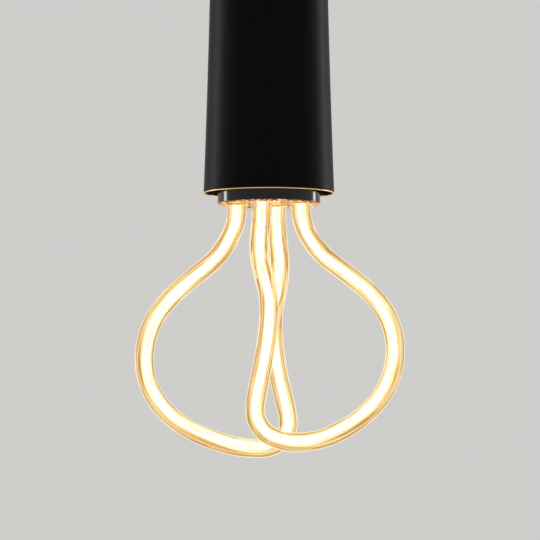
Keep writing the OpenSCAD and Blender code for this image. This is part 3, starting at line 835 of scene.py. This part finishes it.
def tube_piece(settings, name, node, route, feet):
    """A clear tube with open ends and a wall, drawn a little unevenly."""
    obj = loop_curve(route, feet, high_z(node), settings.tube_radius, rings=14, rounding=12)
    bpy.ops.object.mode_set(mode="EDIT")
    bpy.ops.mesh.select_all(action="DESELECT")
    bpy.ops.mesh.select_face_by_sides(number=4, type="NOTEQUAL")
    bpy.ops.mesh.delete(type="FACE")
    bpy.ops.object.mode_set(mode="OBJECT")
    coated(obj, bpy.data.materials["clear_wall"], bpy.data.materials["amber_wall"])
    uneven(obj, "drawn_unevenness", 14 * MM, settings.waviness)
    apply_modifier(obj, "SOLIDIFY", thickness=settings.tube_wall, offset=-1, material_offset=1)
    finish_piece(obj, name, "bulb", [node], sharp=math.radians(60))


def core_piece(settings, name, node, route, feet):
    """A lit core with lumps and its two milky layers, which wander together inside the tube."""
    top = high_z(node)
    core = loop_curve(route, feet, top, settings.core_radius, rings=40, rounding=4, lean=settings.lean)
    coated(core, bpy.data.materials["lit_core"])
    layers = [core]
    for share in (0.5, 1):
        radius = settings.core_radius + share * (settings.jacket_radius - settings.core_radius)
        layer = loop_curve(route, feet, top, radius, rings=40, rounding=5, lean=settings.lean)
        layers.append(coated(layer, bpy.data.materials["soft_jacket"]))
    uneven(core, "core_beading", 2.2 * MM, 0.5 * MM)
    obj = uneven(joined(layers), "core_wander", 40 * MM, settings.wander, "RGB_TO_XYZ")
    finish_piece(obj, name, "bulb", [node], sharp=math.radians(60))


class LOOPBULB_OT_tubes(Operator):
    """Two bent clear tubes with light in their walls, and the glowing core in each"""

    bl_idname = "loopbulb.tubes"
    bl_label = "Glowing Loops"

    def execute(self, context):
        settings = context.scene.loop_bulb_tubes
        for finish in (clear_wall, amber_wall, soft_jacket, lit_core):
            finish(settings)
        for letter, route, feet in (("a", ROUTE_A, FEET[:2]), ("b", ROUTE_B, FEET[2:])):
            tube_piece(settings, "clear_tube_" + letter, "tube_" + letter, route, feet)
            core_piece(settings, "glowing_core_" + letter, "filament_" + letter, route, feet)
        return {"FINISHED"}


# Sleeve, stem and nut


class LOOPBULB_OT_sleeve(Operator):
    """Flared black sleeve with a rounded top edge and a bare lip"""

    bl_idname = "loopbulb.sleeve"
    bl_label = "Sleeve"

    def execute(self, context):
        settings = context.scene.loop_bulb_sleeve
        low = low_z("sleeve")
        top = low_z("ring_nut")
        rim = settings.rim_radius
        wall = settings.wall
        lip = settings.lip

        def radius(z):
            """Outer radius of the flare, which sags inward between its ends."""
            t = (z - low) / (top - low)
            return rim + (settings.top_radius - rim) * t - settings.sag * 4 * t * (1 - t)

        steps = 12
        bend = top - settings.edge
        shoulder = radius(bend)
        flare = [low + (bend - low) * i / steps for i in range(1, steps)]
        corners = [(rim - wall, low, lip), (rim, low, lip)]
        corners += [(radius(z), z, 0) for z in flare]
        corners += [(shoulder, top, settings.edge), (settings.bore, top, 0), (settings.bore, top - wall, 0)]
        corners += [(shoulder - wall, top - wall, settings.edge - wall)]
        corners += [(radius(z) - wall, z, 0) for z in reversed(flare)]
        obj = coated(turned(rounded(corners, steps=7), steps=160), satin_lacquer(settings))
        finish_piece(obj, "sleeve_shell", "sleeve", ["sleeve"])
        return {"FINISHED"}


class LOOPBULB_OT_stem(Operator):
    """Threaded stem, the nut on the sleeve, its washer and the grub screw"""

    bl_idname = "loopbulb.stem"
    bl_label = "Stem and Nut"

    def execute(self, context):
        settings = context.scene.loop_bulb_sleeve
        self.stem(settings)
        self.nut(settings)
        soft_pieces(zinc_plate(), "holder", "zinc_steel", 0.15 * MM, "grub_screw")
        rubber = soft_rubber("black_rubber", (0.02, 0.02, 0.02))
        soft_pieces(rubber, "holder", "washer_rubber", 0.2 * MM, "sleeve_washer")
        return {"FINISHED"}

    def stem(self, settings):
        """The stem's thread, chamfered at both ends and bored through."""
        low, high = levels("stem")
        radius = outer_radius("stem")
        root = radius - settings.stem_depth
        profile = [(root, 0), (root, 0.12), (radius, 0.44), (radius, 0.56), (root, 0.88), (root, 1)]
        obj = threaded(profile, settings.stem_pitch, low, high, steps=40)
        chamfer = 0.8 * MM
        wide = radius + 0.01 * MM
        outline = [
            (0, low), (radius - chamfer, low), (wide, low + chamfer),
            (wide, high - chamfer), (radius - chamfer, high), (0, high),
        ]
        cut(obj, turned(outline, steps=64), "INTERSECT")
        coated(bored(obj, "stem", settings.stem_bore), zinc_plate())
        finish_piece(obj, "threaded_stem", "holder", ["stem"], sharp=math.radians(30))

    def nut(self, settings):
        """The hexagonal nut, with its corners turned down and the stem's hole."""
        low, high = levels("ring_nut")
        flat = settings.nut_flats / 2
        corner = flat / math.cos(TURN / 12)
        face = 0.97 * flat
        slope = (corner - face) * math.tan(TURN / 12)
        obj = post(0, 0, low, high, corner, sides=6, turn=TURN / 4)
        outline = [
            (0, low), (face, low), (corner, low + slope), (corner, high - slope), (face, high), (0, high),
        ]
        cut(obj, turned(outline, steps=96), "INTERSECT")
        bored(obj, "ring_nut", outer_radius("stem") + 0.05 * MM)
        bevel(obj, 0.12 * MM)
        coated(obj, worked_metal("black_oxide", (0.045, 0.045, 0.05), 0.3))
        finish_piece(obj, "hex_nut", "sleeve", ["ring_nut"])


# Bulb


class LOOPBULB_OT_housing(Operator):
    """Glossy black housing with its screw bosses, and the dome between it and the screw cap"""

    bl_idname = "loopbulb.housing"
    bl_label = "Housing"

    def execute(self, context):
        settings = context.scene.loop_bulb_bulb
        black = gloss_moulding("housing_gloss", settings.black)
        self.wall(settings, black)
        self.dome(settings, black)
        return {"FINISHED"}

    def wall(self, settings, black):
        """The round wall with its bosses, each with a screw hole and a web towards the wall."""
        low, high = levels("housing")
        outer = outer_radius("housing")
        inner = outer - settings.wall
        edge = settings.housing_edge
        corners = [(inner, low, edge), (outer, low, edge), (outer, high, edge), (inner, high, edge)]
        obj = turned(rounded(corners, steps=3), steps=160)
        board = low_z("driver_board")
        foot = board - 10 * MM
        for boss in BOSSES:
            web = 1.15 * boss
            cut(obj, post(boss.x, boss.y, foot, board, radius=3 * MM, sides=32), "UNION")
            cut(obj, post(web.x, web.y, foot, board, radius=1.4 * MM, sides=32), "UNION")
            cut(obj, post(boss.x, boss.y, board - 5.5 * MM, board + MM, radius=1.15 * MM, sides=24))
        finish_piece(coated(obj, black), "housing_wall", "bulb", ["housing"])

    def dome(self, settings, black):
        """The dome, with a step into the housing below and a spigot into the screw cap above."""
        low, high = levels("neck")
        base = high_z("housing")
        cap = low_z("cap_shell")
        wall = settings.wall + 0.1 * MM
        shoulder = settings.dome_shoulder
        spigot = shoulder - 2.4 * MM
        step = settings.step_radius
        inner = step - settings.wall
        outline = [(step, low), (step, base)]
        outline += self.quarter(shoulder, outer_radius("neck"), base, cap)
        outline += [(spigot, cap), (spigot, high), (spigot - wall, high), (spigot - wall, cap - wall)]
        outline += reversed(self.quarter(shoulder - wall, inner, base, cap - wall))
        outline += [(inner, low)]
        finish_piece(coated(turned(outline), black), "dome_neck", "bulb", ["neck"])

    def quarter(self, near, far, low, high, steps=24):
        """Points (radius, height) of a quarter ellipse, from (far, low) up to (near, high)."""
        angles = [TURN / 4 * k / steps for k in range(steps + 1)]
        return [(near + (far - near) * math.cos(a), low + (high - low) * math.sin(a)) for a in angles]


class LOOPBULB_OT_plate(Operator):
    """Clear golden end plate with two beaded rings and a raised ring round each tube"""

    bl_idname = "loopbulb.plate"
    bl_label = "End Plate"

    def execute(self, context):
        settings = context.scene.loop_bulb_bulb
        tubes = context.scene.loop_bulb_tubes
        plate = golden_plate(settings, tubes)
        bead = golden_bead(settings, tubes)
        rings = [(27 * MM, settings.outer_beads), (24.7 * MM, settings.inner_beads)]
        pieces = [coated(self.disc(settings, rings), plate)]
        for radius, number in rings:
            pieces.append(coated(self.beads(settings, radius, number), bead))
        for foot in FEET:
            pieces.append(coated(self.foot_ring(foot, tubes.tube_radius), bead))
        finish_piece(joined(pieces), "beaded_plate", "bulb", ["end_plate"])
        gold = worked_metal("gold_mirror", (0.9, 0.62, 0.24), 0.1)
        soft_pieces(gold, "bulb", "reflector_gold", 0.06 * MM, "reflector")
        silicone = soft_rubber("white_silicone", (0.82, 0.81, 0.77))
        soft_pieces(silicone, "bulb", "silicone", 0.2 * MM, "tube_grommets", "tube_plugs")
        return {"FINISHED"}

    def disc(self, settings, rings):
        """The plate, hollowed a little inside, between and outside its two rings."""
        low, high = levels("end_plate")
        flange = low_z("housing")
        outer = outer_radius("end_plate")
        face = low + 0.35 * MM
        base = 0.7 * MM
        crest = base / 2
        chamfer = 0.2 * MM
        outline = [(0, face)]
        for radius, _ in reversed(rings):
            outline += [(radius - base, face), (radius - crest, low)]
            outline += [(radius + crest, low), (radius + base, face)]
        outline += [(outer - chamfer, low + chamfer), (outer, low + 2 * chamfer), (outer, flange)]
        outline += [(settings.step_radius, flange), (settings.step_radius, high), (0, high)]
        obj = turned(outline)
        hole = 5.45 * MM
        for foot in FEET:
            cut(obj, post(foot.x, foot.y, low - MM, high + MM, hole, sides=48))
        return obj

    def beads(self, settings, radius, number):
        """A ring of beads, made from one that is copied and turned."""
        select_only()
        size = settings.bead_radius
        bpy.ops.mesh.primitive_uv_sphere_add(
            segments=12, ring_count=8, radius=size, location=(radius, 0, PLATE_Z + 0.45 * size)
        )
        first = placed()
        copies = [first]
        for k in range(1, number):
            select_only(first)
            bpy.ops.object.duplicate(linked=False)
            bpy.context.object.rotation_euler = (0, 0, TURN * k / number)
            copies.append(placed())
        return joined(copies)

    def foot_ring(self, foot, tube_radius):
        """The raised ring round one end of a tube."""
        select_only()
        bpy.ops.mesh.primitive_torus_add(
            major_segments=48, minor_segments=10, major_radius=tube_radius + 0.6 * MM,
            minor_radius=0.4 * MM, location=(foot.x, foot.y, PLATE_Z + 0.1 * MM),
        )
        return placed()


class LOOPBULB_OT_cap(Operator):
    """Nickel screw cap with its rolled thread, black glass insulator and solder-domed contact"""

    bl_idname = "loopbulb.cap"
    bl_label = "Screw Cap"

    def execute(self, context):
        settings = context.scene.loop_bulb_bulb
        self.shell(settings)
        glass = thick_coat("black_glass", (0.006, 0.006, 0.008), (0.016, 0.013, 0.018))
        soft_pieces(glass, "bulb", "cap_glass", 0.3 * MM, "cap_insulator")
        self.contact()
        return {"FINISHED"}

    def shell(self, settings):
        """The cap's thread, which fades into plain ends and is bored through."""
        low, high = levels("cap_shell")
        crest = 13.1 * MM
        depth = settings.thread_depth
        root = crest - depth
        steps = 12
        profile = [(root + depth * (1 - math.cos(TURN * k / steps)) / 2, k / steps) for k in range(steps + 1)]
        obj = threaded(profile, settings.thread_pitch, low, high, steps=72)
        plain = 1.2 * MM
        skirt = root + 0.35 * MM
        slack = 0.1 * MM
        outline = [
            (0, low), (skirt, low), (skirt, low + plain), (crest + slack, low + 2 * plain),
            (crest + slack, high - 2 * plain), (root + slack, high - plain), (root - 0.2 * MM, high),
            (0, high),
        ]
        cut(obj, turned(outline, steps=96), "INTERSECT")
        bored(obj, "cap_shell", settings.cap_bore, sides=96)
        coated(obj, worked_metal("nickel_plate", (0.72, 0.7, 0.66), 0.14))
        finish_piece(obj, "screw_cap", "bulb", ["cap_shell"])

    def contact(self):
        """The end contact: a button whose top dips a little round its centre."""
        low, high = levels("cap_contact")
        wide = outer_radius("cap_contact")
        top = 3.5 * MM
        dip = 1.2 * MM
        corners = [
            (0, low, 0), (wide, low, 0.1 * MM), (wide - 0.3 * MM, low + 0.5 * MM, 0.2 * MM),
            (top, high, 0.6 * MM), (dip, high - 0.05 * MM, 0), (0, high, 0),
        ]
        tin = worked_metal("tinned_brass", (0.7, 0.66, 0.58), 0.2)
        obj = coated(turned(rounded(corners), steps=64), tin)
        finish_piece(obj, "domed_contact", "bulb", ["cap_contact"])


# Holder


class LOOPBULB_OT_holder(Operator):
    """Lamp holder: moulded cap and skirt, ceramic block, brass shell and strips, and the sprung contact"""

    bl_idname = "loopbulb.holder"
    bl_label = "Lamp Holder"

    def execute(self, context):
        moulding = matt_moulding("holder_moulding", (0.014, 0.014, 0.015))
        soft_pieces(moulding, "holder", "holder_black", 0.35 * MM, "holder_cap", "holder_skirt")
        soft_pieces(fired_ceramic(), "holder", "block_ceramic", 0.3 * MM, "terminal_block")
        brass = worked_metal("satin_brass", (0.78, 0.58, 0.26), 0.24)
        flat_brass = worked_metal("rolled_brass", (0.8, 0.6, 0.28), 0.26, (1, 0.04, 1))
        strips = ("line_strip", "neutral_strip", "line_terminal", "neutral_terminal")
        screws = ("shell_rivets", "block_screws", "terminal_screws")
        soft_pieces(brass, "holder", "contact_brass", 0.12 * MM, "screw_shell")
        soft_pieces(flat_brass, "holder", "contact_brass", 0.15 * MM, *strips)
        soft_pieces(zinc_plate(), "holder", "zinc_steel", 0.2 * MM, *screws)
        soft_pieces(brass, "contact", "contact_brass", 0.3 * MM, "contact_plunger")
        wire = worked_metal("spring_wire", (0.56, 0.56, 0.57), 0.25, (1, 1, 0.03))
        soft_pieces(wire, "contact", "spring_steel", 0.12 * MM, "plunger_clip")
        self.spring(wire)
        return {"FINISHED"}

    def spring(self, wire):
        """The contact's spring, which stretches between the ceramic block and the plunger."""
        low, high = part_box("contact_spring")
        radius = 0.4 * MM
        coil = 3.6 * MM
        turns = 3
        steps = 24 * turns
        rise = high.z - low.z - 2 * radius
        points = [
            around(coil, TURN * turns * k / steps, low.z + radius + rise * k / steps)
            for k in range(steps + 1)
        ]
        obj = coated(round_wire(points, radius), wire)
        finish_piece(obj, "stretching_spring", None, ["contact_spring"])
        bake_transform(obj)


# Driver


class LOOPBULB_OT_driver(Operator):
    """Round driver board with its parts, screws and wires"""

    bl_idname = "loopbulb.driver"
    bl_label = "Driver"

    def execute(self, context):
        soft_pieces(circuit_board(), "bulb", "board_green", 0.12 * MM, "driver_board")
        soft_pieces(zinc_plate(), "bulb", "zinc_steel", 0.2 * MM, "board_screws")
        chip = matt_moulding("chip_moulding", (0.02, 0.02, 0.021))
        soft_pieces(chip, "bulb", "chip_black", 0.12 * MM, "driver_ic")
        soft_pieces(chip, "bulb", "chip_black", 0.35 * MM, "bridge_rectifier")
        dip = thick_coat("yellow_dip", (0.8, 0.48, 0.03), (0.86, 0.6, 0.08))
        soft_pieces(dip, "bulb", "film_yellow", 1.1 * MM, "film_capacitor")
        self.capacitor()
        self.inductor()
        self.resistor()
        for name, shade, slot, node in (
            ("red_insulation", (0.6, 0.03, 0.02), "wire_red", "lamp_wires"),
            ("brown_insulation", (0.2, 0.08, 0.03), "wire_brown", "line_wire"),
            ("blue_insulation", (0.03, 0.1, 0.5), "wire_blue", "neutral_wire"),
        ):
            soft_pieces(soft_rubber(name, shade), "bulb", slot, 0.1 * MM, node)
        return {"FINISHED"}

    def centre(self, node):
        """The middle of a node's box, and its lowest and highest corners."""
        low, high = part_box(node)
        return (low + high) / 2, low, high

    def moved(self, obj, where):
        """A piece that was turned round the Z axis, put over its place on the board."""
        obj.location = (where.x, where.y, 0)
        select_only(obj)
        return placed()

    def capacitor(self):
        """Electrolytic capacitor: shrink sleeve over an aluminium can, crimped low and open on top."""
        middle, low, high = self.centre("bulk_capacitor")
        radius = (high.x - low.x) / 2
        crimp = low.z + 2 * MM
        reach = 0.6 * MM
        rim = radius - 1.2 * MM
        lid = high.z - 0.15 * MM
        corners = [
            (0, low.z, 0), (radius - 0.3 * MM, low.z, 0.2 * MM), (radius, low.z + 0.6 * MM, 0.3 * MM),
            (radius, crimp - reach, 0.2 * MM), (radius - 0.55 * MM, crimp, 0.3 * MM),
            (radius, crimp + reach, 0.3 * MM), (radius, high.z, 0.6 * MM),
            (rim, high.z, 0), (rim - 0.1 * MM, lid, 0), (0, lid, 0),
        ]
        sleeve = thick_coat("shrink_sleeve", (0.012, 0.016, 0.045), (0.02, 0.026, 0.07))
        can = worked_metal("can_aluminium", (0.75, 0.75, 0.76), 0.25)
        obj = coated(turned(rounded(corners), steps=64), sleeve, can)
        for face in obj.data.polygons:
            if face.center.z > middle.z and face.center.xy.length < rim:
                face.material_index = 1
        self.moved(obj, middle)
        finish_piece(obj, "shrunk_capacitor", "bulb", ["bulk_capacitor"])

    def inductor(self):
        """Drum inductor: ferrite flanges with an enamelled wire wound between them."""
        middle, low, high = self.centre("inductor")
        radius = (high.x - low.x) / 2
        floor = low.z + 1.2 * MM
        roof = high.z - 1.2 * MM
        waist = radius - 1.1 * MM
        edge = 0.25 * MM
        corners = [
            (0, low.z, 0), (radius, low.z, edge), (radius, floor, edge), (waist, floor, 0),
            (waist, roof, 0), (radius, roof, edge), (radius, high.z, edge), (0, high.z, 0),
        ]
        ferrite = matt_moulding("ferrite", (0.05, 0.05, 0.055))
        drum = coated(turned(rounded(corners, steps=3), steps=64), ferrite)
        wire = 0.25 * MM
        steps = 5
        angles = [TURN / 2 * k / steps for k in range(steps + 1)]
        profile = [(waist + wire * math.sin(a), (1 - math.cos(a)) / 2) for a in angles]
        winding = threaded(profile, 2 * wire, floor, roof, steps=40)
        coated(winding, thick_coat("enamelled_copper", (0.42, 0.14, 0.04), (0.6, 0.24, 0.07), 1600.0))
        obj = self.moved(joined([drum, winding]), middle)
        finish_piece(obj, "wound_inductor", "bulb", ["inductor"])

    def resistor(self):
        """Fusible resistor: waisted body with colour bands and bent leads."""
        middle, low, high = self.centre("fuse_resistor")
        lead = 0.3 * MM
        radius = 1.6 * MM
        half = 4.5 * MM
        waist = 0.86 * radius
        axis = high.z - radius
        end = [
            (0, half, 0), (0.8 * radius, half, 0.4 * MM), (radius, half - 0.8 * MM, 0.5 * MM),
            (radius, half - 2 * MM, 0.6 * MM), (waist, half - 2.7 * MM, 0.5 * MM),
        ]
        corners = [(across, -along, rounding) for across, along, rounding in end] + end[::-1]
        body = turned(rounded(corners), steps=40)
        body.rotation_euler = (0, TURN / 4, 0)
        body.location = (middle.x, middle.y, axis)
        select_only(body)
        bands = [
            (-1.6 * MM, (0.3, 0.1, 0.03)), (-0.6 * MM, (0.02, 0.02, 0.02)),
            (0.4 * MM, (0.02, 0.02, 0.02)), (1.7 * MM, (0.7, 0.5, 0.15)),
        ]
        coated(placed(), banded_lacquer(middle.x, radius, bands))
        reach = (high.x - low.x) / 2 - lead
        turn = 0.35 * MM
        points = [(-reach, low.z), (-reach, axis - turn), (-reach + turn, axis)]
        points += [(-x, z) for x, z in reversed(points)]
        leads = round_wire([(middle.x + x, middle.y, z) for x, z in points], lead)
        coated(leads, worked_metal("tinned_lead", (0.66, 0.66, 0.64), 0.2, (0.03, 1, 1)))
        finish_piece(joined([body, leads]), "banded_resistor", "bulb", ["fuse_resistor"])


# Studio


class LOOPBULB_OT_stage(Operator):
    """Pale floor and background, soft strip lights and the camera"""

    bl_idname = "loopbulb.stage"
    bl_label = "Stage"

    def execute(self, context):
        settings = context.scene.loop_bulb_stage
        self.floor(settings)
        self.room(context, settings)
        self.lights(settings)
        self.camera(context, settings)
        return {"FINISHED"}

    def floor(self, settings):
        select_only()
        bpy.ops.mesh.primitive_plane_add(size=30, location=(0, 0, -settings.floor_drop))
        floor = placed()
        floor.name = "floor"
        nodes = material("floor_paint")
        clouds = nodes.noise(nodes.place(), 3, 2)
        shade = nodes.blend(clouds, settings.paint, shaded(settings.paint, 0.97))
        floor.data.materials.append(nodes.surface({"Base Color": shade, "Roughness": 0.8}))

    def room(self, context, settings):
        """A world that lights evenly, and shows as the pale backdrop where it is looked at or mirrored."""
        world = bpy.data.worlds.new("room")
        context.scene.world = world
        nodes = Nodes(world)
        rays = nodes.add("LightPath").socket.node.outputs
        seen = Socket(nodes, rays["Is Camera Ray"])
        for kind in ("Is Glossy Ray", "Is Transmission Ray"):
            seen = seen.maths("MAXIMUM", seen, Socket(nodes, rays[kind]))
        room = nodes.add("Background", {}, {"Color": (1.0, 0.99, 0.97), "Strength": settings.ambient})
        backdrop = nodes.add("Background", {}, {"Color": settings.backdrop, "Strength": 1.0})
        mixed = nodes.add("MixShader", {}, {0: seen, 1: room, 2: backdrop})
        nodes.add("OutputWorld", {}, {"Surface": mixed})

    def lights(self, settings):
        """Tall strips a little behind the lamp on both sides, whose light runs down the sleeve's sides."""
        distance = 1.4
        height = Vector((0, 0, -0.1))
        target = Vector((0, 0, -0.12))
        for name, degrees, width in (("strip_left", -114, 0.2), ("strip_right", 122, 0.16)):
            select_only()
            turn = math.radians(degrees)
            where = Vector((math.sin(turn), -math.cos(turn), 0)) * distance + height
            facing = (target - where).to_track_quat("-Z", "Y").to_euler()
            bpy.ops.object.light_add(type="AREA", location=where, rotation=facing)
            light = bpy.context.object
            light.name = name
            light.data.shape = "RECTANGLE"
            light.data.size = width
            light.data.size_y = 1.5
            light.data.energy = settings.strip_power * width
            light.data.color = (0.95, 0.98, 1.0)

    def camera(self, context, settings):
        select_only()
        where = (settings.camera_side, -settings.camera_distance, PLATE_Z - settings.camera_drop)
        turn = (TURN / 4 + settings.camera_tilt, 0, 0)
        bpy.ops.object.camera_add(location=where, rotation=turn)
        camera = bpy.context.object
        camera.name = "camera"
        camera.data.lens = settings.camera_lens
        camera.data.sensor_width = 36
        camera.data.clip_end = 50
        context.scene.camera = camera
        context.scene.view_settings.view_transform = "Standard"


class LOOPBULB_PT_panel(Panel):
    """Buttons that build the lamp's looks, one group of pieces after another"""

    bl_idname = "LOOPBULB_PT_panel"
    bl_label = "Loop Bulb"
    bl_space_type = "VIEW_3D"
    bl_region_type = "UI"
    bl_category = "Loop Bulb"

    def draw(self, context):
        for operator in OPERATORS:
            self.layout.operator(operator.bl_idname)


GROUPS = {
    "loop_bulb_tubes": TubeSettings,
    "loop_bulb_sleeve": SleeveSettings,
    "loop_bulb_bulb": BulbSettings,
    "loop_bulb_stage": StageSettings,
}
OPERATORS = [
    LOOPBULB_OT_stage,
    LOOPBULB_OT_tubes,
    LOOPBULB_OT_sleeve,
    LOOPBULB_OT_stem,
    LOOPBULB_OT_housing,
    LOOPBULB_OT_plate,
    LOOPBULB_OT_cap,
    LOOPBULB_OT_holder,
    LOOPBULB_OT_driver,
]
CLASSES = [*GROUPS.values(), *OPERATORS, LOOPBULB_PT_panel]


def register():
    for made in CLASSES:
        bpy.utils.register_class(made)
    for name, group in GROUPS.items():
        setattr(bpy.types.Scene, name, PointerProperty(type=group))


def unregister():
    for name in GROUPS:
        delattr(bpy.types.Scene, name)
    for made in reversed(CLASSES):
        bpy.utils.unregister_class(made)


def main():
    """Builds everything in order."""
    register()
    for operator in OPERATORS:
        group, name = operator.bl_idname.split(".")
        getattr(getattr(bpy.ops, group), name)()


if __name__ == "__main__":
    main()
